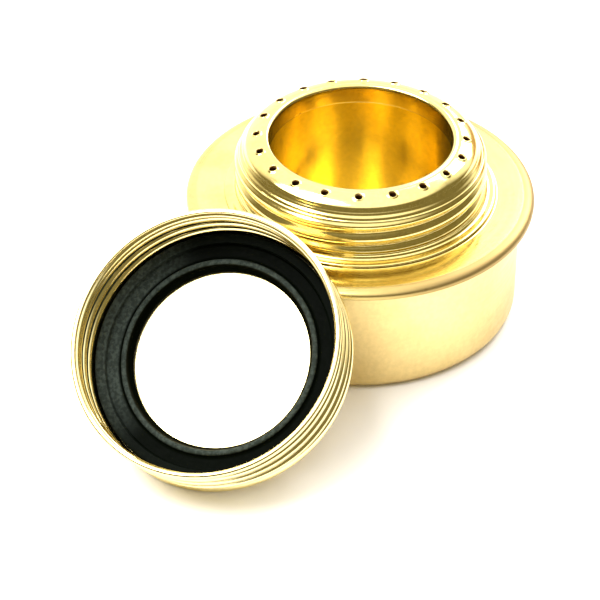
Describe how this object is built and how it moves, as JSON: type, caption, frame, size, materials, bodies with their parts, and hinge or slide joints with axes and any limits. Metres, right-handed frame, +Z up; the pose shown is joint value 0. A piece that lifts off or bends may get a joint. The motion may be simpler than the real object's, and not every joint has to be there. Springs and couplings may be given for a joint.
{
  "type": "alcohol burner",
  "caption": "Open-jet spirit burner: a drawn brass cup with a threaded neck and a ring of jets, and its sealed screw cap leaning on it.",
  "frame": {"origin": "centre of the cup's flat underside, on the burner's own axis", "axes": "+Z up along the burner's axis, -Y towards the front, where the cap leans; the cap lies to the front left (-X, -Y)"},
  "size_m": [0.0965, 0.1128, 0.0442],
  "materials": {
    "cup_brass": "satin drawn brass",
    "neck_brass": "polished brass",
    "sleeve_brass": "drawn brass tube, warm",
    "wick_fibre": "packed glass and cotton fibre",
    "cap_brass": "polished brass",
    "seal_rubber": "black rubber, scuffed"
  },
  "bodies": {
    "burner": {"fuel_cup": "cup_brass", "neck_shell": "neck_brass", "inner_sleeve": "sleeve_brass", "wick": "wick_fibre"},
    "cap": {"cap_shell": "cap_brass", "cap_seal": "seal_rubber"}
  },
  "joints": [
    {"name": "cap_lift", "type": "slide", "parent": "burner", "child": "cap", "axis": [-0.2304, -0.559, 0.7965], "range_m": [0, 0.06]}
  ]
}
